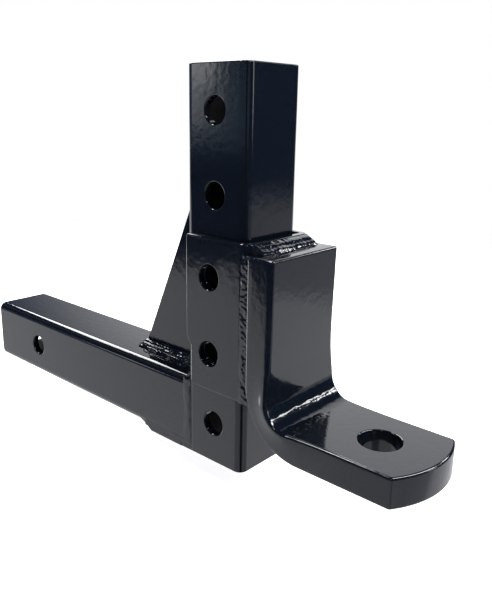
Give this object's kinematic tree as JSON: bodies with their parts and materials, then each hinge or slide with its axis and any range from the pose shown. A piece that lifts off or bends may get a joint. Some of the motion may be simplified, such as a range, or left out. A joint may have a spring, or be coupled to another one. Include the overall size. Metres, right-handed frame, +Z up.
{
  "type": "adjustable ball mount",
  "caption": "Adjustable tow ball mount: square receiver shank welded to an upright post with a gusset, and a bent ball tongue on a channel that slides on the post and pins through it.",
  "frame": {"origin": "where the hitch pin's axis crosses the shank's centre line", "axes": "+X along the shank towards the tongue and ball, +Z up along the post, +Y along the pin holes to the left seen looking along +X"},
  "size_m": [0.4215, 0.0722, 0.255],
  "materials": {
    "black_coat": "gloss"
  },
  "bodies": {
    "shank_frame": {"shank_tube": "black_coat", "post_tube": "black_coat", "gusset_plate": "black_coat", "foot_strap": "black_coat", "shank_side_weld_left": "black_coat", "shank_side_weld_right": "black_coat", "shank_top_weld_left": "black_coat", "shank_top_weld_right": "black_coat", "gusset_foot_weld": "black_coat", "gusset_post_weld_left": "black_coat", "gusset_post_weld_right": "black_coat", "strap_side_weld_left": "black_coat", "strap_side_weld_right": "black_coat", "strap_end_weld": "black_coat"},
    "ball_carriage": {"height_channel": "black_coat", "tongue_bar": "black_coat", "tongue_side_weld_left": "black_coat", "tongue_side_weld_right": "black_coat", "tongue_top_weld": "black_coat"}
  },
  "joints": [
    {"name": "height_slide", "type": "slide", "parent": "shank_frame", "child": "ball_carriage", "axis": [0, 0, 1], "range_m": [-0.05, 0.1]}
  ]
}
